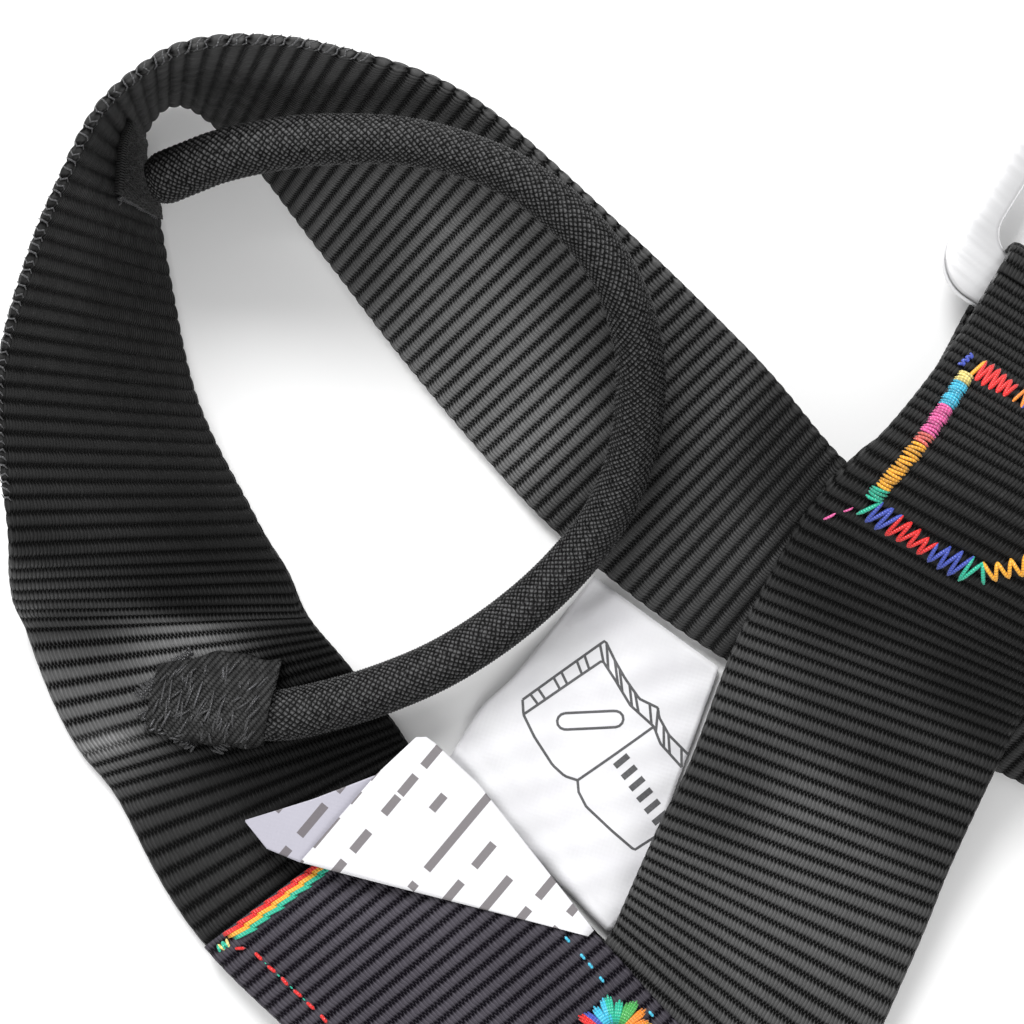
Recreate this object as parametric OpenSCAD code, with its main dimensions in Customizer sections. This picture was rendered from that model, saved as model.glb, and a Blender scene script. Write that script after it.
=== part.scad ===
// Tree climbing saddle: a waist belt of heavy webbing laid in a ring, two risers to the
// leg loops, quick-connect buckles, gear loops and labels. Millimetres, +Z up, X along the
// belt, the wearer's front at -Y. The saddle lies on a table at Z = 0 with its buckles open.

/* [Webbing] */
// Width of the load-bearing webbing
webbing_w = 45; // [44.5:0.1:45.5]
// Thickness of the load-bearing webbing
webbing_t = 2.2; // [1.8:0.1:2.3]
// Gap left between layers that are sewn together
layer_gap = 0.2; // [0.1:0.05:0.2]

/* [Buckles] */
// Thickness of the buckle plates
plate_t = 3; // [2.5:0.25:3.25]
// Width of each frame plate
frame_w = 66; // [64:0.5:67]
// Length of each frame plate
frame_l = 52; // [50:0.5:52.5]
// Width of the bar that the webbing is sewn round
sewn_bar = 9.5; // [7:0.5:9.5]
// Width of each frame's side bars
side_bar = 6; // [5:0.25:6.5]
// Corner radius of each frame
frame_r = 7.5; // [6:0.5:9]
// Width of each tongue plate
tongue_w = 60; // [58:0.5:62]
// Length of each tongue plate
tongue_l = 34; // [30:0.5:34.5]

/* [Cords and small webbing] */
// Diameter of the gear loop cord
cord_d = 9; // [8:0.5:9.5]
// Width of the attachment loop
loop_w = 18; // [16:1:18]
// Thickness of the attachment loop, two layers sewn together
loop_t = 4.4; // [3.6:0.2:4.6]
// Thickness of a label
label_t = 0.35; // [0.3:0.05:0.4]

/* [Hidden] */

// Middle of the whole saddle along Y, so that the origin is at the middle of its base
mid_y = 100;
// Lift that brings the lowest edge of the leaning webbing to the table
base_lift = 0.08;
half_t = webbing_t / 2;
// Heights of the middle of the first, second and third layer of webbing above the table
layer_1 = half_t;
layer_2 = layer_1 + webbing_t + layer_gap;
layer_3 = layer_2 + webbing_t + layer_gap;
// Steps between two stations of a route
steps = 5;

// Open webbing fold round a bar: distance from the bar's axis and height above the table.
// The layer on the table comes first; the fold leaves room for the bar to turn.
bar_z = 7.5;
fold_r = bar_z - half_t;

// Waist belt, left half, from the front to the back: [lower edge x, y, upper edge x, y]
belt_front_x = -44;
// Where the edges are farther apart than the webbing is wide, it lies flat.
belt_half = [
    [-60, -46, -62, -96], [-83, -44.5, -91, -94], [-98, -42.5, -107, -91],
    [-118, -41, -127, -89], [-136, -40, -147, -88], [-146.5, -37.3, -172.5, -79],
    [-158, -35, -184, -74.5], [-167.2, -33.3, -200.7, -63.8], [-174.2, -29.9, -205.7, -57.9],
    [-182.9, -27, -209.9, -51], [-202, -19, -224, -35], [-217, -8, -232, -16.5],
    [-227.5, 0.5, -235.5, -4], [-235.2, 5.5, -237.5, 6.8], [-237.2, 12, -236.1, 16],
    [-235, 16, -233.3, 22.2], [-229, 17, -227, 29], [-219, 16, -217.5, 35.5],
    [-201, 11.8, -198.3, 43.7], [-174.2, 6, -168.8, 44.2], [-144, 2, -139.9, 42.3],
    [-112, 4, -114, 38], [-90, 11, -90, 46], [-68, 18, -67, 54],
    [-35, 25, -34, 61], [0, 28, 0, 64]
];
// Station of the belt at the seam where its second layer begins
seam_station = 21;

// Riser, upper layer, from the waist belt to the leg buckle: outer edge, then inner edge
riser_hinge_y = -40.4;
riser_z = layer_2;
riser_top = [
    [-98.5, riser_hinge_y, riser_z, -51.5, riser_hinge_y, riser_z],
    [-103.5, -23.8, 6, -60.5, -10.9, 7],
    [-106.7, -11.8, 8.5, -64.8, 1.5, 9],
    [-112.9, 4.9, 13, -70.3, 19.4, 14],
    [-116.3, 16.4, 20.5, -73.6, 29.6, 22],
    [-119.2, 28.4, 31.5, -75.2, 38.5, 30],
    [-119, 38.6, 36.8, -74.7, 48, 36.2],
    [-118.3, 46, 36, -74.1, 55, 37.4],
    [-117.9, 56, 27.5, -73.7, 63.5, 31.5],
    [-118.2, 66, 20, -73.9, 73, 22.5]
];
// Distance from the riser's upper layer to the layer returned under it
riser_return_drop = webbing_t + layer_gap + 0.1;

// Leg buckle: middle of the sewn bar, and the turn of the bar from the X axis
leg_bar = [-97, 79];
leg_turn = 8;
// Distance along the bar's line from the leg frame to the leg webbing's own fold
leg_fold_shift = 63;
// Tongue at the open end of the leg webbing: middle of its bar, and its turn
tongue_bar = [-117.3, 160.8];
tongue_turn = 22;

// Leg webbing from its fold on the crotch bridge to the tongue, laid as the belt is
leg_half = [
    [-68, 165, -24, 171], [-70, 205, -29, 216], [-76, 244, -46, 263],
    [-89, 270, -75, 292], [-108, 279, -110, 301], [-128, 273, -144, 290],
    [-136, 257, -166, 266], [-132, 240, -173, 238]
];
// Length of the leg webbing's tail, which lies on the webbing
tail_l = 52;

// Gear loop cord from the hip to the front: points of its middle
gear_route = [
    [-226.3, 4.8, 24.5], [-224, 8.6, 26.5], [-221.3, 12.8, 29], [-217.2, 17.8, 31.5],
    [-213, 22.2, 33.5], [-207.8, 26.7, 35.5], [-202, 31.2, 36.5], [-195.3, 35, 37],
    [-187.2, 38, 37], [-178.6, 39.2, 36.5], [-169.8, 38.6, 35.5], [-161.8, 36.1, 33],
    [-154.6, 31.6, 28], [-149, 25.7, 22], [-144.2, 17.9, 16], [-141.3, 8.3, 11.5],
    [-141, -2.7, 9], [-142.7, -14.1, 7.8], [-146, -24.8, 7.6], [-150.5, -33.9, 7.6],
    [-155.4, -41.5, 7.6], [-160, -47.4, 7.6]
];

// Half of the bridge between the risers, from the left riser to the middle
bridge_route = [
    [-84, 69, 8], [-78, 70.2, bar_z], [-71, 71.6, bar_z], [-65.5, 74, bar_z],
    [-61, 78.6, bar_z], [-57.5, 82.8, bar_z], [-53.5, 85, bar_z], [-36, 87.6, bar_z],
    [-14, 90.7, bar_z], [-8, 91.3, bar_z], [0, 91.5, bar_z]
];
bridge_w = 6;
bridge_t = 4.4;
attachment_y = 91.5;

webbing_colour = [0.06, 0.06, 0.065];
steel_colour = [0.82, 0.82, 0.84];
label_colour = [0.95, 0.94, 0.97];

// ---- curves ----

function between(a, b, c, d, t) = 0.5 * (2 * b + (c - a) * t
    + (2 * a - 5 * b + 4 * c - d) * t * t + (3 * b - a - 3 * c + d) * t * t * t);

// Smooth curve through rows of numbers of any length
function smooth(p, n = steps) = [
    for (i = [0 : len(p) - 2], k = [0 : n - 1])
        between(p[max(i - 1, 0)], p[i], p[i + 1], p[min(i + 2, len(p) - 1)], k / n),
    p[len(p) - 1]
];

function unit(v) = v / norm(v);
function reversed(p) = [for (i = [len(p) - 1 : -1 : 0]) p[i]];
function mirrored(p) = [for (q = p) [-q[0], q[1], -q[2], q[3]]];

// Two edge points of webbing whose lower edge rests on the layer at height z0: the plan
// distance between the edges gives the lean
function leaning(q, z0 = layer_1) =
    let (a = [q[0], q[1]], b = [q[2], q[3]], d = min(norm(b - a), webbing_w),
         e = a + unit(b - a) * d, lean = d / webbing_w,
         z = z0 - half_t + half_t * lean)
    [[a[0], a[1], z], [e[0], e[1], z + sqrt(max(0, pow(webbing_w, 2) - d * d))]];

function edges(q) = [[q[0], q[1], q[2]], [q[3], q[4], q[5]]];

// Station of a fold: centre of the bar's axis, direction along the axis, half width,
// distance u across the axis and height z
function fold_station(c, along, half_w, u, z) =
    let (across = [-along[1], along[0]], m = c + across * u,
         a = m - along * half_w, b = m + along * half_w)
    [[a[0], a[1], z], [b[0], b[1], z]];

// ---- solids ----

function across_normal(s, i) =
    let (n = len(s), p = s[max(i - 1, 0)], q = s[min(i + 1, n - 1)],
         along = (q[0] + q[1] - p[0] - p[1]) / 2)
    unit(cross(along, s[i][1] - s[i][0]));

// Flat webbing through stations of two edge points
module ribbon(s, t = webbing_t) {
    n = len(s);
    points = [for (i = [0 : n - 1]) let (h = across_normal(s, i) * t / 2)
        each [s[i][0] + h, s[i][1] + h, s[i][1] - h, s[i][0] - h]];
    sides = [for (i = [0 : n - 2], k = [0 : 3]) let (a = 4 * i, j = (k + 1) % 4)
        each [[a + k, a + j, a + 4 + j], [a + k, a + 4 + j, a + 4 + k]]];
    last = 4 * (n - 1);
    polyhedron(points, concat([[3, 2, 1], [3, 1, 0]], sides,
        [[last, last + 1, last + 2], [last, last + 2, last + 3]]), convexity = 10);
}

// Part of a webbing's face: stations i0 to i1, from v0 to v1 of the width, off its middle
function on_face(s, i0, i1, v0, v1, off) = [for (i = [i0 : i1])
    let (h = across_normal(s, i) * off, w = s[i][1] - s[i][0])
    [s[i][0] + w * v0 + h, s[i][0] + w * v1 + h]];

// Round or oval bar along a route, with half a ball at each end when ball is true
module swept(route, rx, rz, sides = 10, ball = false) {
    n = len(route);
    function along(i) = unit(route[min(i + 1, n - 1)] - route[max(i - 1, 0)]);
    lead = ball ? [0.96, 0.6] : [];
    rings = concat(
        [for (f = lead) [route[0] - along(0) * rx * f, along(0), sqrt(1 - f * f)]],
        [for (i = [0 : n - 1]) [route[i], along(i), 1]],
        [for (f = reversed(lead))
            [route[n - 1] + along(n - 1) * rx * f, along(n - 1), sqrt(1 - f * f)]]);
    count = len(rings);
    points = [for (r = rings, k = [0 : sides - 1])
        let (side = unit(cross(r[1], [0, 0, 1])), up = cross(side, r[1]),
             a = 360 * k / sides)
        r[0] + (side * rx * cos(a) + up * rz * sin(a)) * r[2]];
    walls = [for (i = [0 : count - 2], k = [0 : sides - 1])
        let (a = sides * i, b = a + sides, j = (k + 1) % sides)
        each [[a + k, a + j, b + j], [a + k, b + j, b + k]]];
    polyhedron(points, concat([[for (k = [sides - 1 : -1 : 0]) k]], walls,
        [[for (k = [0 : sides - 1]) sides * (count - 1) + k]]), convexity = 10);
}

module rounded_plate(w, l, r, t) {
    for (x = [-w / 2 + r, w / 2 - r], y = [r, l - r])
        translate([x, y, -t / 2]) cylinder(h = t, r = r, $fn = 48);
    translate([-w / 2 + r, 0, -t / 2]) cube([w - 2 * r, l, t]);
    translate([-w / 2, r, -t / 2]) cube([w, l - 2 * r, t]);
}

// Buckle frame: the sewn bar lies on the X axis and the plate extends towards +Y
module frame_plate() {
    far_bar = 9;
    window_r = 4.5;
    difference() {
        translate([0, -sewn_bar / 2, 0]) rounded_plate(frame_w, frame_l, frame_r, plate_t);
        translate([0, sewn_bar / 2, 0])
            rounded_plate(frame_w - 2 * side_bar, frame_l - sewn_bar - far_bar,
                window_r, plate_t + 2);
    }
}

// Buckle tongue: the slot and the sewn bar lie near the X axis, the plate reaches to +Y
module tongue_plate() {
    tongue_bar_w = 6;
    tongue_r = 6;
    slot_l = 9;
    slot_r = 3;
    difference() {
        translate([0, -tongue_bar_w / 2, 0])
            rounded_plate(tongue_w, tongue_l, tongue_r, plate_t);
        translate([0, tongue_bar_w / 2, 0])
            rounded_plate(tongue_w - 2 * side_bar, slot_l, slot_r, plate_t + 2);
    }
}

module placed() { translate([0, -mid_y, base_lift]) children(); }
module other_side() { mirror([1, 0, 0]) children(); }

// Tilts at which the plates rest with their far edge on the table
frame_tilt = 7;
tongue_tilt = 11;

// ---- waist belt ----

belt_left = smooth(belt_half);
belt_line = concat(
    [[belt_front_x, -46.5, belt_front_x, -95]], belt_left,
    reversed(mirrored([for (i = [0 : len(belt_left) - 2]) belt_left[i]])),
    [[-belt_front_x, -46.5, -belt_front_x, -95]]);
belt = [for (q = belt_line) leaning(q)];

module waist_webbing() {
    color(webbing_colour) placed() ribbon(belt);
}

// Second layer of the front: it starts at the seam, passes over the riser's root and
// folds round the buckle's bar to meet the end of the belt
module front_reinforcement() {
    flat_part = [for (i = [seam_station : -1 : 1])
        let (q = belt_line[i], rise = min(1, (seam_station - i) / steps),
             e = leaning(q, layer_1), z = layer_2 + (layer_3 - layer_2) * rise)
        [[e[0][0], e[0][1], z], [e[1][0], e[1][1], z]]];
    edge_y = [-46.5, -91.5];
    round_part = [for (p = [
        [-56, 9.6], [-51.5, 12.6], [-47.5, 13.8], [-44, 13.9], [-41.2, 13.2], [-38.9, 11.4],
        [-37.7, 9], [-37.7, 6.3], [-38.8, 3.7], [-41, 1.8], [-43.9, 1.1]])
        [[p[0], edge_y[0], p[1]], [p[0], edge_y[1], p[1]]]];
    color(webbing_colour) placed() ribbon(concat(flat_part, round_part));
}
module left_front_reinforcement() { front_reinforcement(); }
module right_front_reinforcement() { other_side() front_reinforcement(); }

// Sewn end of a riser, between the belt and its second layer
module riser_root() {
    far_y = -88;
    root_y = riser_hinge_y - 1.6;
    color(webbing_colour) placed()
        ribbon([[[-97.9, root_y, layer_2], [-51.2, root_y, layer_2]],
                [[-88, far_y + 3, layer_2], [-56, far_y, layer_2]]]);
}
module left_riser_root() { riser_root(); }
module right_riser_root() { other_side() riser_root(); }

// ---- risers and bridge ----

leg_along = [cos(leg_turn), sin(leg_turn)];
half_w = webbing_w / 2;
riser_upper = smooth(riser_top, 4);
riser_nose = [for (a = [180 : -18 : 0])
    let (u = fold_r * sin(a), z = bar_z - fold_r * cos(a))
    let (s = fold_station(leg_bar, leg_along, half_w, u, z)) [each s[0], each s[1]]];
riser_low = [for (p = [[-4, 1.5], [-8, 4.2], [-12, 8.2]])
    let (s = fold_station(leg_bar, leg_along, half_w, p[0], p[1])) [each s[0], each s[1]]];
riser_face = [for (q = riser_upper) edges(q)];
// Stations of the upper layer between which the returned layer lies under it
return_from = 21;
return_to = len(riser_face) - 4;
riser_back = reversed(on_face(riser_face, return_from, return_to, 0, 1, riser_return_drop));
riser_line = concat([for (q = concat(riser_upper, riser_nose, riser_low)) edges(q)], riser_back);

module riser() {
    color(webbing_colour) placed() ribbon(riser_line);
}
module left_riser() { riser(); }
module right_riser() { other_side() riser(); }

module crotch_bridge() {
    half = smooth(bridge_route, 3);
    other = [for (i = [len(half) - 2 : -1 : 0]) [-half[i][0], half[i][1], half[i][2]]];
    color(webbing_colour) placed()
        swept(concat(half, other), bridge_w / 2, bridge_t / 2, 12);
}

// Stiff sewn loop that hangs on the bridge
attachment_side = [
    [-6.6, 7.5], [-5.6, 11.6], [-2, 14.3], [4, 15.5], [20, 20], [45, 24.5], [70, 24.5],
    [88, 21], [98, 13.5], [96, 6], [85, 2.6], [60, 2.2], [30, 2.2], [8, 2.2], [0, 2.2],
    [-3.5, 3.3], [-6.6, 7.5]
];
module attachment_loop() {
    side = smooth(attachment_side, 4);
    n = len(side) - 1;
    function out(i) = let (a = side[(i + n - 1) % n], b = side[(i + 1) % n], d = unit(b - a))
        [-d[1], d[0]];
    outer = [for (i = [0 : n - 1]) side[i] + out(i) * loop_t / 2];
    inner = [for (i = [0 : n - 1]) side[i] - out(i) * loop_t / 2];
    color(webbing_colour) placed() translate([-loop_w / 2, attachment_y, 0])
        rotate([90, 0, 90]) linear_extrude(loop_w) difference() {
            polygon(outer);
            polygon(inner);
        }
}

// ---- leg loops ----

leg_fold_centre = leg_bar + leg_along * leg_fold_shift;
tongue_along = [cos(tongue_turn), sin(tongue_turn)];
fold_top_z = 2 * bar_z - half_t;
function fold_side(reach, z_end) = concat(
    [[reach, z_end], [24, z_end], [19, z_end + 0.8], [14, z_end + 3.8], [8, 11.2],
     [3, fold_top_z - 0.4]],
    [for (a = [180 : 20 : 360]) [fold_r * sin(a), bar_z - fold_r * cos(a)]],
    [[8, layer_1], [20, layer_1], [36, layer_1]]);

medial_fold = [for (p = fold_side(34, layer_2))
    fold_station(leg_fold_centre, leg_along, half_w, p[0], p[1])];
lateral_fold = [for (p = fold_side(tail_l, layer_2))
    fold_station(tongue_bar, tongue_along, half_w, p[0], p[1])];
function plan(s) = let (e = s[0] + (s[1] - s[0]) * 1.1) [s[0][0], s[0][1], e[0], e[1]];
function swapped(s) = [s[1], s[0]];
leg_start = medial_fold[len(medial_fold) - 1];
leg_end = lateral_fold[len(lateral_fold) - 1];
leg_end_2 = fold_station(tongue_bar, tongue_along, half_w, 60, layer_1);
leg_plan = smooth(concat([plan(leg_start)], leg_half, [plan(swapped(leg_end_2)),
    plan(swapped(leg_end))]));
leg_ring = [for (i = [1 : len(leg_plan) - 2]) leaning(leg_plan[i])];
leg_line = concat(medial_fold, leg_ring, [for (s = reversed(lateral_fold)) swapped(s)]);

module leg_webbing() { color(webbing_colour) placed() ribbon(leg_line); }
module left_leg_webbing() { leg_webbing(); }
module right_leg_webbing() { other_side() leg_webbing(); }

module at_bar(c, turn) { translate([c[0], c[1], bar_z]) rotate([0, 0, turn]) children(); }
module leg_frame() {
    color(steel_colour) placed() at_bar(leg_bar, leg_turn)
        rotate([-frame_tilt, 0, 0]) frame_plate();
}
module left_leg_frame() { leg_frame(); }
module right_leg_frame() { other_side() leg_frame(); }

module leg_tongue() {
    color(steel_colour) placed() at_bar(tongue_bar, tongue_turn + 180)
        rotate([-tongue_tilt, 0, 0]) tongue_plate();
}
module left_leg_tongue() { leg_tongue(); }
module right_leg_tongue() { other_side() leg_tongue(); }

// Elastic band that holds the tail on the leg webbing
keeper_at = 26;
keeper_w = 10;
module leg_keeper() {
    wall = 1;
    room = 0.3;
    inner_h = 2 * webbing_t + layer_gap + 2 * room;
    color(webbing_colour) placed()
        translate([tongue_bar[0], tongue_bar[1], 0]) rotate([0, 0, tongue_turn])
        translate([0, keeper_at, 0]) difference() {
            translate([-half_w - room - wall, 0, 0])
                cube([webbing_w + 2 * (room + wall), keeper_w, inner_h + wall]);
            translate([-half_w - room, -1, -1])
                cube([webbing_w + 2 * room, keeper_w + 2, inner_h + 1]);
        }
}
module left_leg_keeper() { leg_keeper(); }
module right_leg_keeper() { other_side() leg_keeper(); }

// ---- waist buckle ----

belt_mid_y = -69;
module waist_frame() {
    color(steel_colour) placed() at_bar([belt_front_x, belt_mid_y], -90)
        rotate([-frame_tilt, 0, 0]) frame_plate();
}
module waist_tongue() {
    color(steel_colour) placed() at_bar([-belt_front_x, belt_mid_y], 90)
        rotate([-tongue_tilt, 0, 0]) tongue_plate();
}

// ---- gear loops ----

module gear_loop() {
    color(webbing_colour) placed() swept(smooth(gear_route, 2), cord_d / 2, cord_d / 2, 10, true);
}
module left_gear_loop() { gear_loop(); }
module right_gear_loop() { other_side() gear_loop(); }

patch_t = 1.6;
patch_gap = 0.6;
// Patch on the belt's flat front, past the end of the cord: middle of its near edge,
// direction and size
front_patch_at = [-163.6, -51.4, 2.4];
front_patch_turn = 222;
front_patch_l = 16;
front_patch_w = 15;
module front_patch() {
    color(webbing_colour) placed() translate(front_patch_at) rotate([0, 0, front_patch_turn])
        translate([0, -front_patch_w / 2, 0]) cube([front_patch_l, front_patch_w, patch_t]);
}
module left_gear_loop_front_patch() { front_patch(); }
module right_gear_loop_front_patch() { other_side() front_patch(); }

// Patch on the inner face of the belt at the hip
hip_station = steps * 13 + 1;
module hip_patch() {
    color(webbing_colour) placed()
        ribbon(on_face(belt, hip_station - steps, hip_station, 0.1, 0.6,
            half_t + patch_t / 2 + patch_gap), patch_t);
}
module left_gear_loop_hip_patch() { hip_patch(); }
module right_gear_loop_hip_patch() { other_side() hip_patch(); }

// ---- labels ----

// Heights of the labels' undersides: one on the belt's second layer, one near the table
spec_label_z = 7.3;
care_label_z = 0.1;
module spec_label() {
    color(label_colour) placed() translate([0, 0, spec_label_z]) linear_extrude(label_t)
        polygon([[-154, -63.9], [-142.9, -45.4], [-137.8, -34.9], [-136.4, -33.7],
                 [-102.2, -43.9], [-143.2, -63.4]]);
}
module care_label() {
    color(label_colour) placed() translate([0, 0, care_label_z]) linear_extrude(label_t)
        polygon([[-135.2, -38.4], [-136.5, -30.3], [-137, -25.9], [-136.1, -20.2],
                 [-136.5, 0.6], [-112, 2.2], [-98, -36], [-98.5, -41.2]]);
}

waist_webbing();
left_front_reinforcement();
right_front_reinforcement();
left_riser_root();
right_riser_root();
left_riser();
right_riser();
crotch_bridge();
attachment_loop();
left_leg_webbing();
right_leg_webbing();
left_leg_frame();
right_leg_frame();
left_leg_tongue();
right_leg_tongue();
left_leg_keeper();
right_leg_keeper();
waist_frame();
waist_tongue();
left_gear_loop();
right_gear_loop();
left_gear_loop_front_patch();
left_gear_loop_hip_patch();
right_gear_loop_front_patch();
right_gear_loop_hip_patch();
spec_label();
care_label();
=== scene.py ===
"""Looks of the tree climbing saddle: ribbed webbing, braided cords, thread, labels and steel."""

import math

import bpy
import numpy as np
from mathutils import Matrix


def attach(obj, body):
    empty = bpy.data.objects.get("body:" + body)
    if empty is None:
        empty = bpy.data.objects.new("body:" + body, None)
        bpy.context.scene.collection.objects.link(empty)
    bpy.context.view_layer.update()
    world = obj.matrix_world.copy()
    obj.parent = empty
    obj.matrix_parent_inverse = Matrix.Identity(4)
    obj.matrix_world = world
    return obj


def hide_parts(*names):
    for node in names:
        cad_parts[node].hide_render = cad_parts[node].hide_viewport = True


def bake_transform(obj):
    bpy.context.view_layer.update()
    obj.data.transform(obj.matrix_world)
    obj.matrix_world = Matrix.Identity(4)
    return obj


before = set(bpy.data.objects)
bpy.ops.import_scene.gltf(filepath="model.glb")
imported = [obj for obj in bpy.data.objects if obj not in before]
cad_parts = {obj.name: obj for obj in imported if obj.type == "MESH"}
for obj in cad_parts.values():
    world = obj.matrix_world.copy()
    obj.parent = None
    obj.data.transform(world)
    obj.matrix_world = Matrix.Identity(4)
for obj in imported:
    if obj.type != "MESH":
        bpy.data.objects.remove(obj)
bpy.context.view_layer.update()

# Shapes are in millimetres in the layout's own frame: the base's middle is at Y = 100.
MID_Y = 100.0
BASE_LIFT = 0.08
WEBBING_W = 45.0
WEBBING_T = 2.2
LAYER_GAP = 0.2
# Heights of the middle of the first, second and third layer of webbing
LAYER_1 = WEBBING_T / 2
LAYER_2 = LAYER_1 + WEBBING_T + LAYER_GAP
LAYER_3 = LAYER_2 + WEBBING_T + LAYER_GAP
# A buckle's bar, and the webbing folded round it
BAR_Z = 7.5
FOLD_R = BAR_Z - LAYER_1
RIB, ELASTIC_RIB = 2.35, 1.1
CORD_D = 9.0
SIDES = (("left", 1), ("right", -1))


# ---- camera, light and floor ----

CAMERA_AT = (-0.153, -0.100, 0.600)
CAMERA_TURN = 40
LENS_MM = 132.9
LIGHT_AIM = (-0.12, -0.05, 0)
WORLD_LIGHT = 0.75
FLOOR_REACH = 3
# The floor lies just under the webbing's lowest yarns
FLOOR_Z = -0.0005


def add_object(name, data):
    obj = bpy.data.objects.new(name, data)
    bpy.context.scene.collection.objects.link(obj)
    return obj


def add_camera():
    data = bpy.data.cameras.new("camera")
    data.lens = LENS_MM
    data.sensor_width = 36
    camera = add_object("camera", data)
    camera.location = CAMERA_AT
    camera.rotation_euler = (0, 0, math.radians(CAMERA_TURN))
    bpy.context.scene.camera = camera


def add_area_light(name, location, size, power):
    data = bpy.data.lights.new(name, "AREA")
    data.shape = "DISK"
    data.size = size
    data.energy = power
    light = add_object(name, data)
    light.location = location
    x, y, z = unit(np.array(LIGHT_AIM) - np.array(location))
    light.rotation_euler = (math.acos(-z), 0, math.atan2(y, x) - math.pi / 2)


def add_studio():
    scene = bpy.context.scene
    world = bpy.data.worlds.new("studio")
    world.use_nodes = True
    fill(world.node_tree.nodes["Background"], {"Color": (1, 1, 1), "Strength": WORLD_LIGHT})
    scene.world = world
    scene.view_settings.view_transform = "Standard"
    add_area_light("key", (-0.8, 0.36, 0.78), 0.6, 14)
    add_area_light("fill", (0.6, -0.7, 0.9), 0.8, 4)
    mesh = bpy.data.meshes.new("floor")
    r = FLOOR_REACH
    mesh.from_pydata([(-r, -r, 0), (r, -r, 0), (r, r, 0), (-r, r, 0)], [], [(0, 1, 2, 3)])
    floor = add_object("floor", mesh)
    floor.location.z = FLOOR_Z
    material, _ = new_material("floor", (0.93, 0.93, 0.93), 0.8)
    mesh.materials.append(material)


# ---- shader nodes ----

def fill(node, inputs):
    """Sets a node's inputs, each to another node's output, a number or a colour."""
    for key, value in inputs.items():
        socket = node.inputs[key]
        if isinstance(value, bpy.types.NodeSocket):
            node.id_data.links.new(value, socket)
        else:
            socket.default_value = (*value, 1) if socket.type == "RGBA" else value


def new_material(name, colour, roughness):
    material = bpy.data.materials.new(name)
    material.use_nodes = True
    shader = material.node_tree.nodes["Principled BSDF"]
    fill(shader, {"Base Color": colour, "Roughness": roughness})
    return material, shader


class Nodes:
    """Short calls for building a node tree; each gives the new node's output."""

    def __init__(self, material):
        self.tree = material.node_tree

    def new(self, kind, inputs, output=0, **settings):
        node = self.tree.nodes.new("ShaderNode" + kind)
        for key, value in settings.items():
            setattr(node, key, value)
        fill(node, inputs)
        return node.outputs[output]

    def math(self, operation, *values):
        return self.new("Math", dict(enumerate(values)), operation=operation)

    def times(self, a, b):
        return self.math("MULTIPLY", a, b)

    def plus(self, a, b):
        return self.math("ADD", a, b)

    def attribute(self, name, output="Fac"):
        return self.new("Attribute", {}, output, attribute_name=name)

    def combine(self, x, y):
        return self.new("CombineXYZ", {0: x, 1: y})

    def scaled(self, vector, factor):
        return self.new("VectorMath", {0: vector, "Scale": factor}, operation="SCALE")

    def split(self, vector):
        return self.new("SeparateXYZ", {0: vector}).node.outputs

    def noise(self, vector, scale, detail=2.0):
        return self.new("TexNoise", {"Vector": vector, "Scale": scale, "Detail": detail}, "Fac")

    def ranged(self, value, low, high, to_low=0.0, to_high=1.0):
        return self.new("MapRange", {"Value": value, "From Min": low, "From Max": high,
                                     "To Min": to_low, "To Max": to_high}, "Result")

    def clouds(self, vector, scale, to_low, to_high):
        """Noise whose usual span, 0.3 to 0.7, is spread over another."""
        return self.ranged(self.noise(vector, scale), 0.3, 0.7, to_low, to_high)

    def mix(self, factor, a, b):
        # Sockets 6 and 7, and output 2, are the node's colours
        return self.new("Mix", {0: factor, 6: a, 7: b}, 2, data_type="RGBA")

    def bump(self, height, distance, strength=1.0):
        return self.new("Bump", {"Height": height, "Distance": distance, "Strength": strength},
                        "Normal")


# Brightest tone that a webbing's painted highlights may reach, as a multiple of its crest colour
BRIGHTEST_PAINTED_LIGHT = 1.7
# Painted light is given as what it does to brightness in a picture; colours are linear
GAMMA = 2.2
WORN_GREY = (0.3, 0.3, 0.3)


def webbing_material(name, groove, crest, rib=RIB, yarn=0.62):
    """Ribs run across the webbing. Fine yarns pass over each rib and show as teeth at its sides."""
    material, shader = new_material(name, crest, 0.5)
    n = Nodes(material)
    weave = n.attribute("weave", "Vector")
    along, across, _ = n.split(weave)
    crown = n.math("ABSOLUTE", n.math("COSINE", n.times(along, math.pi / rib)))
    # Yarns on neighbouring ribs are half a yarn apart
    step = n.math("FLOOR", n.plus(n.times(along, 1 / rib), 0.5))
    phase = n.plus(n.times(across, 2 * math.pi / yarn), n.times(step, math.pi))
    strand = n.math("COSINE", n.plus(phase, n.times(n.noise(weave, 0.9), 5.0)))
    teeth = n.times(strand, n.math("SUBTRACT", 1.2, n.times(crown, 0.9)))
    # Painted highlight and painted shade: rib crowns take the bright crest colour and the grooves
    # between ribs the dark groove colour; the yarn teeth add texture on top
    tone = n.plus(n.ranged(crown, 0.24, 0.8), n.times(teeth, 0.55))
    tone = n.math("MAXIMUM", n.plus(tone, n.clouds(weave, 0.05, -0.15, 0.12)), 0.0)
    # Painted light: an attribute scales the painted tone, brighter where the lighting would light
    # the webbing and darker where it would shade it
    gain = n.math("POWER", n.attribute("gloss"), GAMMA)
    bright = tuple(c * BRIGHTEST_PAINTED_LIGHT for c in crest)
    base = n.mix(n.times(n.times(tone, gain), 1 / BRIGHTEST_PAINTED_LIGHT), groove, bright)
    fuzz = n.times(n.attribute("wear"), n.ranged(strand, -1, 1, 0.25, 1.0))
    fill(shader, {"Base Color": n.mix(fuzz, base, WORN_GREY), "Normal": n.bump(teeth, 0.00025),
                  "Roughness": n.clouds(weave, 0.4, 0.42, 0.58), "Specular IOR Level": 0.1})
    return material


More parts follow.
